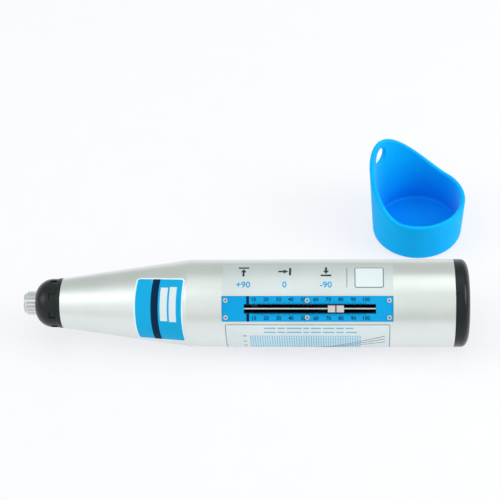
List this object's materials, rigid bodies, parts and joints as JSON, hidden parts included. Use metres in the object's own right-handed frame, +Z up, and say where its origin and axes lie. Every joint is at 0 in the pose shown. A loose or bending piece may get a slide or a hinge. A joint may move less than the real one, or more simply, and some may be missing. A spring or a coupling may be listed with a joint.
{
  "type": "concrete test hammer",
  "caption": "Spring rebound hammer for testing concrete: tapered barrel with plunger, inner hammer mass, sliding pointer on a slotted scale plate, lock button and a slip-on protective cap.",
  "frame": {"origin": "on the surface that the part lies on, under the middle of the box round the lying hammer and the cap behind it", "axes": "+X along the hammer from its plunger tip to its tail, +Y from the hammer back to the cap, +Z up from the surface"},
  "size_m": [0.2797, 0.1528, 0.0615],
  "materials": {
    "housing_metal": "satin silver coat",
    "black_cap": "fine moulded grain",
    "felt": "pressed felt",
    "steel": "ground",
    "spring_steel": "drawn wire",
    "blue_plate": "satin print on thin metal",
    "screw_steel": "bright turned",
    "blue_label": "printed film",
    "pale_label": "printed film",
    "matt_film": "matt film",
    "plunger_steel": "hardened and ground",
    "dark_steel": "oiled steel",
    "ivory_plastic": "satin",
    "red_line": "paint",
    "black_button": "fine moulded grain",
    "blue_silicone": "satin moulded silicone"
  },
  "bodies": {
    "housing": {"housing": "housing_metal", "nose_cap": "black_cap", "felt_ring": "felt", "split_ring": "steel", "spring_seat": "steel", "impact_spring": "spring_steel", "scale_plate": "blue_plate", "plate_screws": "screw_steel", "pointer_shaft": "steel", "name_label": "blue_label", "chart_label": "pale_label", "title_film": "matt_film", "tail_cap": "black_cap", "zero_screw": "steel", "lock_nut": "screw_steel", "pressure_spring": "spring_steel", "button_bush": "screw_steel", "button_spring": "spring_steel"},
    "plunger": {"plunger": "plunger_steel", "buffer_spring": "spring_steel", "guide_rod": "steel", "guide_flange": "steel", "rod_nut": "screw_steel", "hook_pin": "steel", "hook_spring": "spring_steel"},
    "hook": {"hook": "dark_steel"},
    "hammer_mass": {"hammer_mass": "dark_steel"},
    "pointer": {"rider_block": "ivory_plastic", "rider_line": "red_line", "pointer_leaf": "steel"},
    "lock_button": {"lock_button": "black_button", "button_clip": "spring_steel"},
    "protective_cap": {"protective_cap": "blue_silicone"}
  },
  "joints": [
    {"name": "plunger_slide", "type": "slide", "parent": "housing", "child": "plunger", "axis": [1, 0, 0], "range_m": [-0.075, 0], "deforming": ["pressure_spring"]},
    {"name": "mass_slide", "type": "slide", "parent": "housing", "child": "hammer_mass", "axis": [1, 0, 0], "range_m": [0, 0.075], "stiffness_N_per_m": 785, "deforming": ["impact_spring"]},
    {"name": "pointer_slide", "type": "slide", "parent": "housing", "child": "pointer", "axis": [1, 0, 0], "range_m": [-0.0495, 0.018]},
    {"name": "button_press", "type": "slide", "parent": "housing", "child": "lock_button", "axis": [0, -0.7716, 0.6361], "range_m": [0, 0.0025], "stiffness_N_per_m": 300, "springref_m": -0.003, "deforming": ["button_spring"]},
    {"name": "hook_tilt", "type": "hinge", "parent": "plunger", "child": "hook", "pos_m": [0.10361, -0.04141, 0.03626], "axis": [0, 0.7716, -0.6361], "range_deg": [0, 6], "stiffness_Nm_per_rad": 0.05, "springref_deg": -5.73, "deforming": ["hook_spring"]},
    {"name": "cap_lift", "type": "slide", "parent": "housing", "child": "protective_cap", "axis": [0, 0, 1], "range_m": [0, 0.12]}
  ]
}
